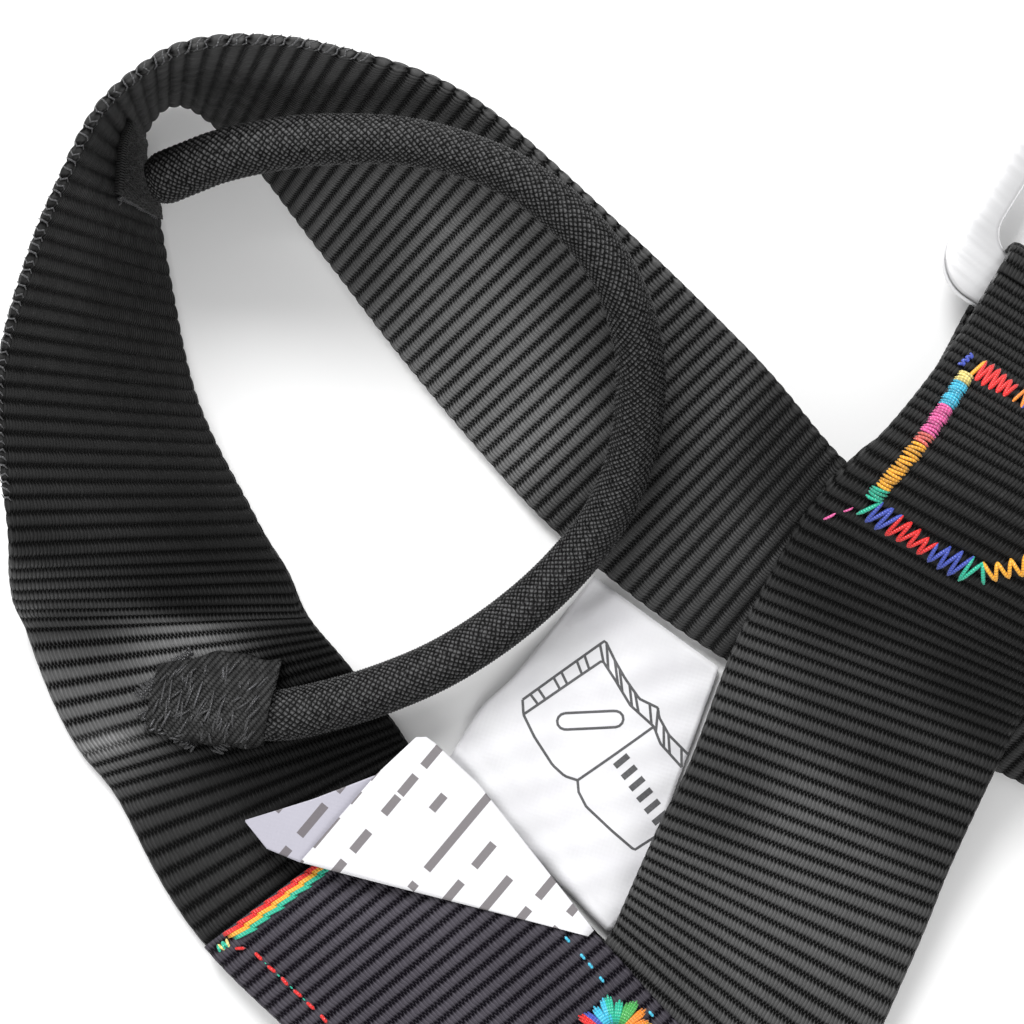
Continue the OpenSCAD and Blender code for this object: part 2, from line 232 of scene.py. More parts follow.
def braid_material():
    """Rows of rounded cells, with painted highlight on their crowns and painted shade in the gaps
    between them; weave holds the mesh's own phases of the braid.
    """
    material, shader = new_material("braid", (0.04, 0.04, 0.042), 0.5)
    n = Nodes(material)
    weave = n.attribute("weave", "Vector")
    run, turn, _ = n.split(weave)
    sway = n.clouds(weave, 0.2, -0.9, 0.9)
    cell = n.math("SUBTRACT", n.math("COSINE", n.plus(run, sway)),
                  n.math("COSINE", n.math("SUBTRACT", turn, sway)))
    cell = n.times(n.math("ABSOLUTE", cell), 0.5)
    filaments = n.math("SINE", n.times(n.plus(run, turn), 3.0))
    tone = n.math("MAXIMUM", n.plus(cell, n.clouds(weave, 0.16, -0.2, 0.2)), 0.0)
    # Painted highlight and painted shade: the cells' crowns are bright and the gaps between them
    # dark
    base = n.mix(n.math("POWER", tone, 1.7), (0.002, 0.002, 0.002), (0.1, 0.1, 0.101))
    fill(shader, {"Normal": n.bump(n.plus(cell, n.times(filaments, 0.12)), 0.0002, 0.8),
                  "Base Color": base, "Specular IOR Level": 0.1})
    return material


def thread_material():
    """Twisted satin thread in the colour of its tint."""
    material, shader = new_material("thread", (0.8, 0.2, 0.2), 0.32)
    n = Nodes(material)
    along, around, _ = n.split(n.attribute("weave", "Vector"))
    twist = n.math("SINE", n.plus(n.times(along, 14.0), around))
    # Painted shade: the thread's colour is darkened in the grooves of its twist
    base = n.scaled(n.attribute("tint", "Color"), n.ranged(twist, -1, 1, 0.72, 1.0))
    fill(shader, {"Normal": n.bump(twist, 0.00006, 0.7), "Base Color": base,
                  "Specular IOR Level": 0.6, "Sheen Weight": 0.2})
    return material


PRINT_ROW = 5.4
# The part of each row, from its lower edge, that its bars fill
PRINT_BAR = (0.32, 0.57)
INK_GREY = (0.1, 0.085, 0.09)


def label_material(name, printed):
    """White satin tape. Where printed, short grey bars stand in for lines of print."""
    material, shader = new_material(name, (0.9, 0.89, 0.92), 0.42)
    n = Nodes(material)
    weave = n.attribute("weave", "Vector")
    along, across, _ = n.split(weave)
    threads = [n.math("SINE", n.times(way, 22.0)) for way in (along, across)]
    base = n.mix(n.clouds(weave, 0.12, 0, 1), (0.66, 0.655, 0.68), (0.73, 0.73, 0.745))
    # Painted shade: the reverse part, folded behind the face, is painted grey-lilac for the shade
    # it lies in
    base = n.mix(n.attribute("reverse"), base, (0.4, 0.39, 0.45))
    if printed:
        row = n.times(along, 1 / PRINT_ROW)
        in_row = n.math("FRACT", row)
        bar = n.times(n.math("GREATER_THAN", in_row, PRINT_BAR[0]),
                      n.math("LESS_THAN", in_row, PRINT_BAR[1]))
        place = n.combine(n.times(across, 0.26), n.times(n.math("FLOOR", row), 7.3))
        word = n.math("GREATER_THAN", n.noise(place, 1.0, 0.0), 0.47)
        base = n.mix(n.times(n.times(bar, word), 0.88), base, INK_GREY)
    fill(shader, {"Normal": n.bump(n.times(*threads), 0.00003, 0.5), "Base Color": base,
                  "Sheen Weight": 0.25})
    return material


def ink_material():
    material, shader = new_material("ink", (0.06, 0.06, 0.065), 0.55)
    n = Nodes(material)
    spots = n.noise(n.attribute("weave", "Vector"), 2.5)
    fill(shader, {"Base Color": n.mix(spots, (0.03, 0.03, 0.033), (0.12, 0.12, 0.125))})
    return material


def steel_material():
    """Plated steel with a satin face: fine brush lines and faint clouding."""
    material, shader = new_material("steel", (0.86, 0.86, 0.87), 0.28)
    n = Nodes(material)
    coordinates = n.new("TexCoord", {}, "Object")
    stretched = n.new("Mapping", {"Vector": coordinates, "Scale": (40, 900, 40)})
    lines = n.noise(stretched, 1.0, 4.0)
    base = n.mix(n.clouds(coordinates, 60.0, 0, 1), (0.72, 0.72, 0.73), (0.86, 0.86, 0.87))
    fill(shader, {"Roughness": n.ranged(lines, 0.3, 0.7, 0.3, 0.38), "Base Color": base,
                  "Normal": n.bump(lines, 0.000004, 0.2), "Metallic": 0.9})
    return material


# ---- curves and stations ----

def smooth(points, n):
    """Catmull-Rom curve through rows of numbers, n steps a span."""
    p = np.array(points, float)
    p = np.concatenate([p[:1], p, p[-1:]])
    a, b, c, d = (p[k:len(p) - 3 + k, None] for k in range(4))
    t = np.arange(n)[:, None] / n
    curve = 0.5 * (2 * b + (c - a) * t + (2 * a - 5 * b + 4 * c - d) * t * t
                   + (3 * b - a - 3 * c + d) * t ** 3)
    return np.concatenate([curve.reshape(-1, p.shape[1]), p[-1:]])


def unit(v):
    v = np.array(v, float)
    return v / np.linalg.norm(v, axis=-1, keepdims=True)


def quarter_turned(v):
    return np.array([-v[1], v[0]])


def distances(points):
    """Distance along a line of points at each of them."""
    return np.concatenate([[0], np.cumsum(np.linalg.norm(np.diff(points, axis=0), axis=1))])


def resample(points, length, at):
    """Places on a line of points whose own distances are length."""
    return np.column_stack([np.interp(at, length, column) for column in np.transpose(points)])


def even_line(line, count):
    line = np.array(line, float)
    length = distances(line)
    return resample(line, length, np.linspace(0, length[-1], count))


def leaning(q):
    """Two edge points of webbing: where its edges are closer in plan than its width, it leans."""
    a, b = np.array(q[:2]), np.array(q[2:])
    gap = min(np.linalg.norm(b - a), WEBBING_W)
    e = a + unit(b - a) * gap
    z = LAYER_1 * gap / WEBBING_W
    rise = math.sqrt(max(0.0, WEBBING_W ** 2 - gap * gap))
    return [a[0], a[1], z, e[0], e[1], z + rise]


def heading(turn):
    """Unit vector in plan at an angle from X."""
    return np.array([math.cos(turn), math.sin(turn)])


def fold_station(centre, turn, u, z):
    """Station u millimetres across a fold whose line runs through centre at an angle."""
    along = heading(turn) * WEBBING_W / 2
    middle = np.array(centre) + heading(turn + math.pi / 2) * u
    return [*(middle - along), z, *(middle + along), z]


def normals(s):
    """Unit vector off the face at each station of two edge points."""
    middle = (s[:, :3] + s[:, 3:]) / 2
    along = np.gradient(middle, axis=0)
    return unit(np.cross(along, s[:, 3:] - s[:, :3]))


class Strap:
    """Webbing along stations, with places on its faces given in millimetres."""

    def __init__(self, stations, step=RIB / 6, thickness=WEBBING_T):
        curve = smooth(stations, 4)
        length = distances((curve[:, :3] + curve[:, 3:]) / 2)
        self.at = np.linspace(0, length[-1], max(2, int(round(length[-1] / step))) + 1)
        self.s = resample(curve, length, self.at)
        self.normal = normals(self.s)
        self.half_t = thickness / 2

    def point(self, along, across, off=0.0):
        """Place at a distance along, across from the first edge, and off the middle layer."""
        row = resample(self.s, self.at, [along])[0]
        normal = unit(resample(self.normal, self.at, [along])[0])
        side = unit(row[3:] - row[:3])
        return row[:3] + side * across + normal * off


# ---- meshes ----

def metres(points, mirror):
    p = np.array(points, float).reshape(-1, 3).copy()
    p[:, 0] *= mirror
    p[:, 1] -= MID_Y
    p[:, 2] += BASE_LIFT
    return p / 1000


def add_mesh(name, points, faces, material, mirror=1, weave=None, tint=None, **values):
    """Object from points in layout millimetres; mirror is -1 for the right side."""
    if mirror < 0:
        faces = [tuple(reversed(f)) for f in faces]
    mesh = bpy.data.meshes.new(name)
    mesh.from_pydata(metres(points, mirror).tolist(), [], [tuple(f) for f in faces])
    mesh.polygons.foreach_set("use_smooth", [True] * len(mesh.polygons))
    layers = [("weave", "FLOAT_VECTOR", "vector", weave), ("tint", "FLOAT_COLOR", "color", tint)]
    layers += [(key, "FLOAT", "value", value) for key, value in values.items()]
    for key, kind, field, data in layers:
        if data is not None:
            attribute = mesh.attributes.new(key, kind, "POINT")
            attribute.data.foreach_set(field, np.array(data, np.float32).ravel())
    mesh.materials.append(material)
    return add_object(name, mesh)


def grid_faces(rows, columns, closed=True, loop=False):
    """Quads between neighbouring rows of points, each row a ring when closed."""
    faces = []
    for i in range(rows if loop else rows - 1):
        a, b = i * columns, (i + 1) % rows * columns
        for k in range(columns if closed else columns - 1):
            j = (k + 1) % columns
            faces.append((a + k, a + j, b + j, b + k))
    return faces


def capped_faces(rows, columns):
    """Faces of a closed tube: its rings, and a cap on each end."""
    ends = [tuple(range(columns))[::-1], tuple(range(columns * (rows - 1), columns * rows))]
    return grid_faces(rows, columns) + ends


def rim_steps(rows, columns):
    """Neighbouring places round the rim of a grid of points."""
    rim = [*range(columns), *(i * columns + columns - 1 for i in range(1, rows)),
           *((rows - 1) * columns + k for k in range(columns - 2, -1, -1)),
           *(i * columns for i in range(rows - 2, 0, -1))]
    return zip(rim, rim[1:] + rim[:1])


def stacked(*columns):
    """Three values for each point of a grid, from values that may share rows or columns."""
    return np.stack(np.broadcast_arrays(*columns), axis=-1)


def strap_profile(columns, width, thickness):
    """Ring of (place from 0 to 1 across, side from -1 to 1) round a strap's section."""
    edge = thickness / 2 / width
    face = np.linspace(edge, 1 - edge, columns)
    upper = [(v, 1.0) for v in face]
    lower = [(v, -1.0) for v in face[::-1]]
    bend = (0.8, math.pi / 2, 2.34)
    far = [(1 - edge + edge * math.sin(a), math.cos(a)) for a in bend]
    near = [(edge - edge * math.sin(a), -math.cos(a)) for a in bend]
    return np.array(upper + far + lower + near)


def add_webbing(name, strap, material, mirror=1, width=WEBBING_W, thickness=WEBBING_T, rib=RIB,
                depth=0.34, columns=11, loop=False, wear=None, gloss=((0, 0, 0.7),)):
    """Webbing with real ribs: each rib crowns both faces and scallops the edges.

    The painted-light argument holds (along, across, amount) places of painted highlight and painted
    shade; the values between them are blended.
    """
    profile = strap_profile(columns, width, thickness)
    count = len(strap.at) - loop
    s, at, normal = strap.s[:count], strap.at[:count], strap.normal[:count]
    crown = np.abs(np.cos(np.pi * at / rib)) ** 0.75
    half = thickness / 2 - depth * (1 - crown)
    scallop = 0.22 * depth * (1 - crown)
    side = s[:, 3:] - s[:, :3]
    wide = np.linalg.norm(side, axis=1)
    side = side / wide[:, None]
    place = profile[None, :, 0] * (wide - 2 * scallop)[:, None] + scallop[:, None]
    drift = 0.05 * np.sin(at[:, None] * 0.31 + profile[None, :, 0] * 9)
    off = profile[None, :, 1] * (half[:, None] + drift)
    points = (s[:, None, :3] + side[:, None] * place[..., None]
              + normal[:, None] * off[..., None])
    weave = stacked(at[:, None], place, 0.0)
    size = len(s), len(profile)
    faces = grid_faces(*size, loop=True) if loop else capped_faces(*size)
    worn = np.zeros(points.shape[:2])
    if wear:
        (spot_along, spot_across), (reach_along, reach_across) = wear
        worn = np.exp(-((at[:, None] - spot_along) / reach_along) ** 2
                      - ((place - spot_across) / reach_across) ** 2)
    from_end = np.minimum(at, at[-1] - at) if name.startswith("belt") else at
    # Painted highlight and painted shade, blended between the listed places
    painted_shine = blend_spots(np.broadcast_to(from_end[:, None], place.shape), place, gloss)
    return add_mesh(name, points, faces, material, mirror, weave, wear=worn, gloss=painted_shine)


def blend_spots(along, across, spots, reach_along=15.0, reach_across=13.0):
    a, c, amount = np.array(spots, float).T[:, :, None, None]
    d = ((along - a) / reach_along) ** 2 + ((across - c) / reach_across) ** 2
    weight = 1 / (0.05 + d) ** 2
    return (weight * amount).sum(axis=0) / weight.sum(axis=0)


def sweep_frames(route):
    """Sideways and upward directions along a route, turned as little as it allows."""
    along = unit(np.gradient(route, axis=0))
    side = [unit(np.cross(along[0], [0, 0, 1]))]
    for direction in along[1:]:
        previous = side[-1]
        side.append(unit(previous - direction * np.dot(previous, direction)))
    side = np.array(side)
    return side, np.cross(side, along)


# The gear loop cord lies flatter over this length before its far end
TAIL_FLAT = 12


def add_braided(name, route, mirror=1, rx=CORD_D / 2, rz=CORD_D / 2, cells=24, cell=0.96,
                relief=0.34, flatten=0.0, girth=((0, 1), (1, 1))):
    """Braided cord: cells of two families of strands that pass over and under each other.

    girth holds (share of the length, share of the radius); flatten lowers the last TAIL_FLAT.
    """
    dense = smooth(route, 12)
    columns, step = 4 * cells, cell / 4
    length = distances(dense)
    at = np.arange(0, length[-1], step)
    centre = resample(dense, length, at)
    side, up = sweep_frames(centre)
    angle = np.linspace(-np.pi / 2, 1.5 * np.pi, columns, endpoint=False)
    turn, run = angle[None, :] * cells, 2 * np.pi * at[:, None] / cell
    height = (np.abs(np.cos(run) - np.cos(turn)) / 2) ** 0.8
    from_last = np.arange(len(at))[::-1]
    close = np.minimum(np.arange(len(at)), from_last) * step / rx
    dome = np.sqrt(np.clip(1 - (1 - np.clip(close + 0.35, 0, 1)) ** 2, 0, 1))[:, None]
    radius = 1 - relief / rx * (1 - height)
    share = np.linspace(0, 1, len(at))
    radius = radius * np.interp(share, *np.array(girth, float).T)[:, None]
    low_rz = rz * (1 - flatten * np.clip(1 - from_last * step / TAIL_FLAT, 0, 1))[:, None]
    points = (centre[:, None]
              + side[:, None] * (rx * np.cos(angle) * radius * dome)[..., None]
              + up[:, None] * (low_rz * np.sin(angle) * radius * dome)[..., None])
    return add_mesh(name, points, capped_faces(len(at), columns), BRAID, mirror,
                    stacked(run, turn, 0.0))


def tube(route, radius, sides=6):
    """Points, faces and weave of one round thread along a route, with closed ends."""
    centre = np.array(route, float)
    side, up = sweep_frames(centre)
    angle = np.linspace(0, 2 * np.pi, sides, endpoint=False)
    size = np.full((len(centre), 1, 1), radius)
    size[[0, -1]] *= 0.45
    ring = (side[:, None] * np.cos(angle)[:, None] + up[:, None] * np.sin(angle)[:, None])
    points = centre[:, None] + ring * size
    weave = stacked(distances(centre)[:, None], angle, 0.0)
    return points.reshape(-1, 3), capped_faces(len(centre), sides), weave.reshape(-1, 3)


def along_path(path, pitch):
    """Index, distance, place and direction at each pitch of a path of (along, across) points."""
    path = np.array(path, float)
    length = distances(path)
    for i in range(int(length[-1] / pitch) + 1):
        at = i * pitch
        behind, here, ahead = resample(path, length, [at - 0.5, at, at + 0.5])
        yield i, at, here, unit(ahead - behind)


class Thread:
    """Stitches gathered into one piece, each with its own colour."""

    def __init__(self):
        self.points, self.faces, self.weave, self.tint = [], [], [], []

    def stitch(self, route, colour, radius=0.2):
        points, faces, weave = tube(route, radius)
        start = sum(len(p) for p in self.points)
        self.points.append(points)
        self.weave.append(weave)
        self.tint.append(np.tile([*colour, 1.0], (len(points), 1)))
        self.faces += [tuple(start + k for k in f) for f in faces]

    def arch(self, strap, a, b, colour, radius=0.2, rise=0.35):
        """One stitch over the face that looks up, from a to b, each (along, across)."""
        a, b = np.array(a, float), np.array(b, float)
        middle = (a + b) / 2
        up = 1 if strap.point(*middle, 1.0)[2] > strap.point(*middle)[2] else -1
        steps = np.linspace(0, 1, 6)
        off = strap.half_t - 0.25 + rise * np.clip(np.sin(np.pi * steps), 0, 1) ** 0.6
        self.stitch([strap.point(*(a + (b - a) * t), up * high) for t, high in zip(steps, off)],
                    colour, radius)

    def zigzag(self, strap, path, width, period, colours, run, radius=0.3):
        """Zigzag along a path of (along, across) points, in runs of one colour after another."""
        last = None
        for i, at, middle, along in along_path(path, period / 2):
            jitter = 1 + 0.18 * math.sin(i * 12.9898)
            here = middle + quarter_turned(along) * width / 2 * jitter * (-1) ** i
            if last is not None:
                self.arch(strap, last, here, colours[int(at / run) % len(colours)], radius)
            last = here

    def satin(self, strap, path, width, pitch, colours, run, radius=0.26):
        """Close strokes side by side across a path of (along, across) points."""
        for i, at, middle, along in along_path(path, pitch):
            side = quarter_turned(along) * width / 2 * (1 + 0.07 * math.sin(i * 5.3))
            slant = along * 0.16 * math.sin(i * 1.9)
            shade = 0.82 + 0.18 * math.sin(i * 7.7)
            colour = tuple(c * shade for c in colours[int(at / run) % len(colours)])
            self.arch(strap, middle - side + slant, middle + side - slant, colour, radius, 0.6)

    def row(self, strap, across, start, end, length, period, colours, radius=0.3):
        """Straight stitches along a strap; a second colour shows in the gaps."""
        for i in range(math.ceil((end - length - start) / period)):
            at = start + i * period
            shift = 0.12 * math.sin(i * 2.3)
            self.arch(strap, (at, across + shift), (at + length, across - shift), colours[0],
                      radius, 0.3)
            if len(colours) > 1:
                self.arch(strap, (at + length + 0.25, across), (at + period - 0.25, across),
                          colours[1], radius * 0.45, 0.1)

    def build(self, name, body, mirror=1, material_slot="stitching"):
        keep(add_mesh(name, np.concatenate(self.points), self.faces, THREAD, mirror,
                      np.concatenate(self.weave), np.concatenate(self.tint)), body, material_slot)


def rounded_outline(width, near, far, radius, inset):
    """Rounded rectangle from y near to far, pulled in by inset; corners and sides keep counts."""
    r = max(0.3, radius - inset)
    corners = ((1, near, -90), (1, far, 0), (-1, far, 90), (-1, near, 180))
    points = []
    for side, y, start in corners:
        inward = 1 if y == near else -1
        cx, cy = side * (width / 2 - inset - r), y + inward * (inset + r)
        for a in np.radians(np.linspace(start, start + 90, 12)):
            points.append((cx + r * math.cos(a), cy + r * math.sin(a)))
    return points


def add_plate(name, outer, window, place, mirror, edge=0.8):
    """Stamped plate with a window, its edges rounded; place turns its points into the layout."""
    half = PLATE_T / 2
    arc = np.radians([0, 30, 60, 90])
    curve = [(edge * (1 - math.sin(a)), half - edge * (1 - math.cos(a))) for a in arc]
    rings = [(outer, inset, z) for inset, z in curve]
    rings += [(outer, inset, -z) for inset, z in curve[::-1]]
    rings += [(window, -inset, -z) for inset, z in curve]
    rings += [(window, -inset, z) for inset, z in curve[::-1]]
    points = []
    for shape, inset, z in rings:
        points += [place((x, y, z)) for x, y in rounded_outline(*shape, inset)]
    faces = grid_faces(len(rings), len(points) // len(rings), loop=True)
    return add_mesh(name, points, faces, STEEL, mirror)


def at_bar(centre, turn, tilt):
    """Place of a plate's own points: its bar lies on its X axis, tilted and turned about Z."""
    ct, st, cz, sz = math.cos(tilt), math.sin(tilt), math.cos(turn), math.sin(turn)

    def place(p):
        x, y, z = p[0], p[1] * ct + p[2] * st, -p[1] * st + p[2] * ct
        return (centre[0] + x * cz - y * sz, centre[1] + x * sz + y * cz, BAR_Z + z)

    return place


def add_tape(name, sides, lift, material, rows=40, columns=40, thickness=0.3):
    """Thin tape ruled between pairs of sides; lift gives each place's height above the table.

    The first pair shows the tape's face, the other its reverse, which is painted darker as painted
    shade where it lies folded behind.
    """
    points, weave, faces, reverse = [], [], [], []
    size = rows * columns
    top = grid_faces(rows, columns, closed=False)
    shell = [tuple(size + k for k in f) for f in top] + [f[::-1] for f in top]
    shell += [(here, after, size + after, size + here) for here, after in rim_steps(rows, columns)]
    for turned, (side_a, side_b) in enumerate(sides):
        a, b = even_line(side_a, rows)[:, None], even_line(side_b, rows)[:, None]
        t = np.linspace(0, 1, columns)[None, :, None]
        flat = (a * (1 - t) + b * t).reshape(-1, 3)
        faces += [tuple(len(points) + k for k in f) for f in shell]
        points += [(x, y, lift(x, y, z) + layer) for layer in (0, thickness) for x, y, z in flat]
        weave += 2 * [(x + 2.5 * turned, y, 0) for x, y, z in flat]
        reverse += 2 * size * [turned]
    return add_mesh(name, points, faces, material, weave=weave, reverse=reverse)


def sleeve_grid(base, toward, length, widths, heights, rows=40, columns=44):
    """Places over a folded tape: flat at its far end, bowed over a cord at its base."""
    t = np.linspace(0, 1, rows)[:, None]
    a = np.linspace(0, 2 * np.pi, columns, endpoint=False)
    ease = t * t * (3 - 2 * t)
    half = np.interp(t, (0, 0.5, 1), widths) / 2
    curl = 0.5 * np.sin(9 * t) + 0.3 * np.sin(23 * t + 1)
    x = np.sign(np.cos(a)) * np.abs(np.cos(a)) ** (0.6 + 0.45 * ease) * half
    z = np.clip(np.sin(a), 0, 1) ** (0.6 + 0.4 * ease)
    z = z * (heights[0] + (heights[1] - heights[0]) * ease)
    z = z + 0.32 * np.sin(x * 1.9 + curl * 4) * np.sin(t * 15 + x) * (z > 0.5)
    ahead = (1 - t) * length + 0.16 * x + 0.27 * np.sin(7 * t)
    side = np.cross((0, 0, 1), toward)
    return base + toward * ahead[..., None] + side * (x + curl * 0.6)[..., None] + stacked(0, 0, z)


def add_sleeve(name, grid, mirror):
    points = grid.reshape(-1, 3)
    gloss = 0.5 + 0.2 * np.sin(points[:, 0] * 1.3) * np.sin(points[:, 1] * 1.7)
    return add_mesh(name, points, capped_faces(*grid.shape[:2]), PATCH, mirror,
                    points - points[0], gloss=gloss)


def add_fuzz(thread, grid, count, colour, seed):
    """Loose ends of close black stitching over a patch."""
    random = np.random.default_rng(seed)
    rows, columns = grid.shape[:2]
    for _ in range(count):
        i = int(random.integers(1, rows - 6))
        k = int(random.integers(2, columns // 2 - 6))
        di, dk = int(random.integers(-1, 5)), int(random.integers(1, 5))
        a, c = grid[i, k], grid[min(max(i + di, 0), rows - 1), k + dk]
        b = (a + c) / 2 + (0, 0, 0.35)
        thread.stitch([a - (0, 0, 0.1), (a + b) / 2 + (0, 0, 0.12), b, (b + c) / 2 + (0, 0, 0.12),
                       c - (0, 0, 0.1)], colour, 0.17)


# ---- routes, repeated from the CAD part ----

BELT_HALF = [
    (-60, -46, -62, -96), (-83, -44.5, -91, -94), (-98, -42.5, -107, -91),
    (-118, -41, -127, -89), (-136, -40, -147, -88), (-146.5, -37.3, -172.5, -79),
    (-158, -35, -184, -74.5), (-167.2, -33.3, -200.7, -63.8), (-174.2, -29.9, -205.7, -57.9),
    (-182.9, -27, -209.9, -51), (-202, -19, -224, -35), (-217, -8, -232, -16.5),
    (-227.5, 0.5, -235.5, -4), (-235.2, 5.5, -237.5, 6.8), (-237.2, 12, -236.1, 16),
    (-235, 16, -233.3, 22.2), (-229, 17, -227, 29), (-219, 16, -217.5, 35.5),
    (-201, 11.8, -198.3, 43.7), (-174.2, 6, -168.8, 44.2), (-144, 2, -139.9, 42.3),
    (-112, 4, -114, 38), (-90, 11, -90, 46), (-68, 18, -67, 54), (-35, 25, -34, 61),
    (0, 28, 0, 64)]
BELT_FRONT_X = -44
STEPS = 5
SEAM_STATION = 21
RISER_HINGE_Y = -40.4
RISER_TOP = [
    (-98.5, -40.4, 3.5, -51.5, -40.4, 3.5), (-103.5, -23.8, 6, -60.5, -10.9, 7),
    (-106.7, -11.8, 8.5, -64.8, 1.5, 9), (-112.9, 4.9, 13, -70.3, 19.4, 14),
    (-116.3, 16.4, 20.5, -73.6, 29.6, 22), (-119.2, 28.4, 31.5, -75.2, 38.5, 30),
    (-119, 38.6, 36.8, -74.7, 48, 36.2), (-118.3, 46, 36, -74.1, 55, 37.4),
    (-117.9, 56, 27.5, -73.7, 63.5, 31.5), (-118.2, 66, 20, -73.9, 73, 22.5)]
RISER_ROOT = [(-88, -85, 3.5, -56, -88, 3.5), (-94.5, -60, 3.5, -52.5, -60, 3.5),
              (-97.9, -44.5, 3.5, -51.3, -44.5, 3.5)]
LEG_BAR = (-97, 79)
LEG_TURN = math.radians(8)
LEG_FOLD_SHIFT = 63
TONGUE_BAR = (-117.3, 160.8)
TONGUE_TURN = math.radians(22)
LEG_HALF = [
    (-68, 165, -24, 171), (-70, 205, -29, 216), (-76, 244, -46, 263), (-89, 270, -75, 292),
    (-108, 279, -110, 301), (-128, 273, -144, 290), (-136, 257, -166, 266),
    (-132, 240, -173, 238)]
TAIL_L = 52
GEAR_ROUTE = [
    (-226.3, 4.8, 24.5), (-224, 8.6, 26.5), (-221.3, 12.8, 29), (-217.2, 17.8, 31.5),
    (-213, 22.2, 33.5), (-207.8, 26.7, 35.5), (-202, 31.2, 36.5), (-195.3, 35, 37),
    (-187.2, 38, 37), (-178.6, 39.2, 36.5), (-169.8, 38.6, 35.5), (-161.8, 36.1, 33),
    (-154.6, 31.6, 28), (-149, 25.7, 22), (-144.2, 17.9, 16), (-141.3, 8.3, 11.5),
    (-141, -2.7, 9), (-142.7, -14.1, 7.8), (-146, -24.8, 7.6), (-150.5, -33.9, 7.6),
    (-155.4, -41.5, 7.6), (-160, -47.4, 7.6)]
# Under the front patch the cord's end is sewn down flat
GEAR_SEWN = [(-227.4, 3.2, 24)] + GEAR_ROUTE + [(-164, -51, 6.4), (-167.5, -54.2, 5.4)]
# The cord is pulled thinner at the top of its arc: share of its length, share of its radius
GEAR_GIRTH = ((0, 0.92), (0.12, 0.9), (0.27, 0.77), (0.4, 0.8), (0.52, 0.88), (0.65, 0.84),
              (0.8, 0.88), (1, 0.94))
BRIDGE_ROUTE = [
    (-84, 69, 8), (-78, 70.2, 7.5), (-71, 71.6, 7.5), (-65.5, 74, 7.5), (-61, 78.6, 7.5),
    (-57.5, 82.8, 7.5), (-53.5, 85, 7.5), (-36, 87.6, 7.5), (-14, 90.7, 7.5),
    (-8, 91.3, 7.5), (0, 91.5, 7.5)]
ATTACHMENT_W, ATTACHMENT_T, ATTACHMENT_Y = 18, 4.4, 91.5
ATTACHMENT_SIDE = [
    (-6.6, 7.5), (-5.6, 11.6), (-2, 14.3), (4, 15.5), (20, 20), (45, 24.5), (70, 24.5),
    (88, 21), (98, 13.5), (96, 6), (85, 2.6), (60, 2.2), (30, 2.2), (8, 2.2), (0, 2.2),
    (-3.5, 3.3), (-6.6, 7.5)]
ROUND_PART = [
    (-56, 9.6), (-51.5, 12.6), (-47.5, 13.8), (-44, 13.9), (-41.2, 13.2), (-38.9, 11.4),
    (-37.7, 9), (-37.7, 6.3), (-38.8, 3.7), (-41, 1.8), (-43.9, 1.1)]


def belt_rows():
    left = smooth(BELT_HALF, STEPS)
    right = left[:-1][::-1] * [-1, 1, -1, 1]
    first = [[BELT_FRONT_X, -46.5, BELT_FRONT_X, -95]]
    last = [[-BELT_FRONT_X, -46.5, -BELT_FRONT_X, -95]]
    return np.concatenate([first, left, right, last])


def front_rows():
    """The belt's second layer, from its seam to the end of its fold round the buckle's bar."""
    rows = []
    belt = belt_rows()
    for i in range(SEAM_STATION, 0, -1):
        rise = min(1.0, (SEAM_STATION - i) / STEPS)
        e = leaning(belt[i])
        z = LAYER_2 + (LAYER_3 - LAYER_2) * rise
        rows.append([e[0], e[1], z, e[3], e[4], z])
    return rows + [[x, -46.5, z, x, -91.5, z] for x, z in ROUND_PART]


def round_bar(start, end, step):
    """Middle of the webbing round a buckle's bar: (across, height) at angles in degrees."""
    return [(FOLD_R * math.sin(a), BAR_Z - FOLD_R * math.cos(a))
            for a in np.radians(np.arange(start, end, step))]


def riser_rows():
    """The riser with its sewn root, its fold round the buckle's bar and its returned layer."""
    upper = smooth(RISER_TOP, 4)
    fold = [fold_station(LEG_BAR, LEG_TURN, u, z)
            for u, z in round_bar(180, -1, -18) + [(-4, 1.5), (-8, 4.2), (-12, 8.2)]]
    off = np.tile(normals(upper) * (WEBBING_T + LAYER_GAP + 0.1), (1, 2))
    back = (upper + off)[21:len(upper) - 3][::-1]
    return np.concatenate([RISER_ROOT, upper, fold, back])


def fold_side(centre, turn, reach):
    """Stations of webbing that comes back over itself, round a bar, and on underneath."""
    line = ([(reach, LAYER_2), (24, LAYER_2), (19, LAYER_2 + 0.8), (14, LAYER_2 + 3.8),
             (8, 11.2), (3, BAR_Z + FOLD_R - 0.4)]
            + round_bar(180, 361, 20) + [(8, LAYER_1), (20, LAYER_1), (36, LAYER_1)])
    return [fold_station(centre, turn, u, z) for u, z in line]


def swapped(row):
    return [*row[3:], *row[:3]]


def leg_rows():
    """A leg's webbing: its fold over the bridge, the thigh loop, and its fold and tail."""
    medial = fold_side(LEG_BAR + LEG_FOLD_SHIFT * heading(LEG_TURN), LEG_TURN, 34)
    lateral = fold_side(TONGUE_BAR, TONGUE_TURN, TAIL_L)
    second_end = fold_station(TONGUE_BAR, TONGUE_TURN, 60, LAYER_1)

    def plan(row):
        a, b = np.array(row[:2]), np.array(row[3:5])
        return [*a, *(a + (b - a) * 1.1)]

    ends = [plan(row) for row in (medial[-1], swapped(second_end), swapped(lateral[-1]))]
    line = smooth(ends[:1] + LEG_HALF + ends[1:], STEPS)
    ring = [leaning(q) for q in line[1:-1]]
    return medial + ring + [swapped(row) for row in reversed(lateral)]


